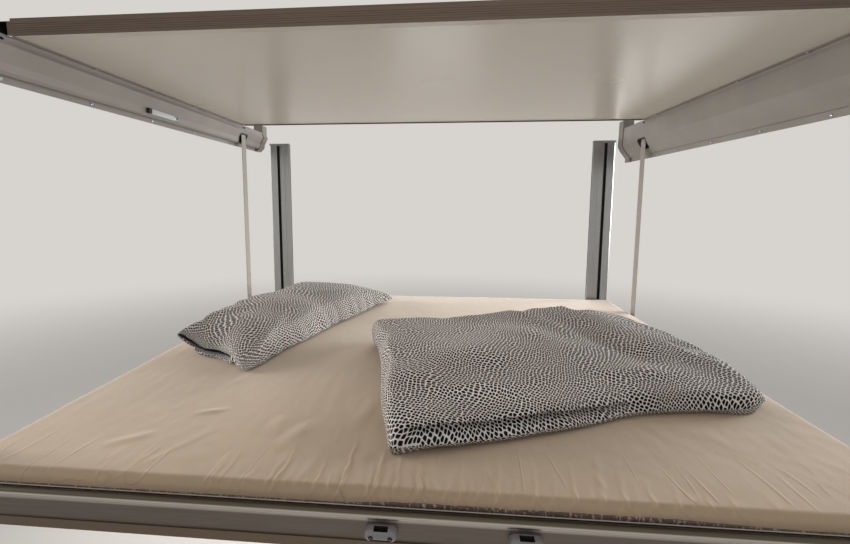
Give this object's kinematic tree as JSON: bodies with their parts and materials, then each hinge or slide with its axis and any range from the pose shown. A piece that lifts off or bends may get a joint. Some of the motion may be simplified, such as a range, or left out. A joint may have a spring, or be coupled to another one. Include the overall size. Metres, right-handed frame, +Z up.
{
  "type": "motorhome drop-down bed",
  "caption": "Lift bed for a motorhome: a made-up mattress on an edge frame, hung by straps from a ceiling unit and guided by rails on the bulkhead.",
  "frame": {"origin": "middle of the ceiling panel's top face, on the roof_face mount", "axes": "+Z up, +Y forwards to the bulkhead with the guide rails, +X to the right wall as seen from the ladder's side"},
  "size_m": [2.12, 1.989, 1.312],
  "materials": {
    "panel_laminate": "satin white laminate on a light sandwich board",
    "fascia_aluminium": "brown anodised extrusion",
    "housing_paint": "warm grey powder coat",
    "cap_plastic": "moulded taupe plastic",
    "steel": "zinc plated",
    "strap_webbing": "woven polyester webbing",
    "guide_aluminium": "natural anodised extrusion",
    "grey_plastic": "moulded grey plastic",
    "black_plastic": "moulded black plastic",
    "catch_plastic": "moulded light grey plastic",
    "rail_aluminium": "taupe coated extrusion with a bright nose",
    "corner_casting": "taupe painted casting",
    "socket_plastic": "moulded mauve grey plastic",
    "sheet_cotton": "fitted cotton sheet over a foam mattress",
    "print_cotton": "off-white cotton with a small black dotted print"
  },
  "bodies": {
    "ceiling_unit": {"ceiling_panel": "panel_laminate", "front_fascia": "fascia_aluminium", "rear_fascia": "fascia_aluminium", "housing_left": "housing_paint", "housing_cap_left_near": "cap_plastic", "strap_left_near": "strap_webbing", "housing_cap_left_far": "cap_plastic", "strap_left_far": "strap_webbing", "guide_rail_left": "guide_aluminium", "guide_cap_left_top": "grey_plastic", "guide_cap_left_bottom": "grey_plastic", "housing_right": "housing_paint", "housing_cap_right_near": "cap_plastic", "strap_right_near": "strap_webbing", "housing_cap_right_far": "cap_plastic", "strap_right_far": "strap_webbing", "guide_rail_right": "guide_aluminium", "guide_cap_right_top": "grey_plastic", "guide_cap_right_bottom": "grey_plastic", "catch_strip": "catch_plastic", "catch_block": "black_plastic"},
    "lift_shaft_left": {"lift_shaft_left": "steel"},
    "lift_shaft_right": {"lift_shaft_right": "steel"},
    "bed": {"strap_anchor_left_near": "steel", "strap_anchor_left_far": "steel", "slide_shoe_left": "black_plastic", "ladder_socket_left": "socket_plastic", "bed_side_rail_left": "rail_aluminium", "bed_corner_left_near": "corner_casting", "bed_corner_left_far": "corner_casting", "strap_anchor_right_near": "steel", "strap_anchor_right_far": "steel", "slide_shoe_right": "black_plastic", "ladder_socket_right": "socket_plastic", "bed_side_rail_right": "rail_aluminium", "bed_corner_right_near": "corner_casting", "bed_corner_right_far": "corner_casting", "bed_front_rail": "rail_aluminium", "bed_rear_rail": "rail_aluminium", "bed_base": "panel_laminate", "mattress": "sheet_cotton", "pillow_left": "print_cotton", "pillow_right": "print_cotton"}
  },
  "joints": [
    {"name": "bed_lift", "type": "slide", "parent": "ceiling_unit", "child": "bed", "axis": [0, 0, 1], "range_m": [0, 0.72], "deforming": ["strap_left_near", "strap_left_far", "strap_right_near", "strap_right_far"]},
    {"name": "shaft_spin_left", "type": "hinge", "parent": "ceiling_unit", "child": "lift_shaft_left", "pos_m": [-1.03655, 0, -0.064], "axis": [0, -1, 0], "range_deg": [0, 2300]},
    {"name": "shaft_spin_right", "type": "hinge", "parent": "ceiling_unit", "child": "lift_shaft_right", "pos_m": [1.03655, 0, -0.064], "axis": [0, 1, 0], "range_deg": [0, 2300]}
  ],
  "couplings": [
    {"joint": "shaft_spin_left", "follows": "bed_lift", "rad_per_m": 55.402},
    {"joint": "shaft_spin_right", "follows": "bed_lift", "rad_per_m": 55.402}
  ]
}
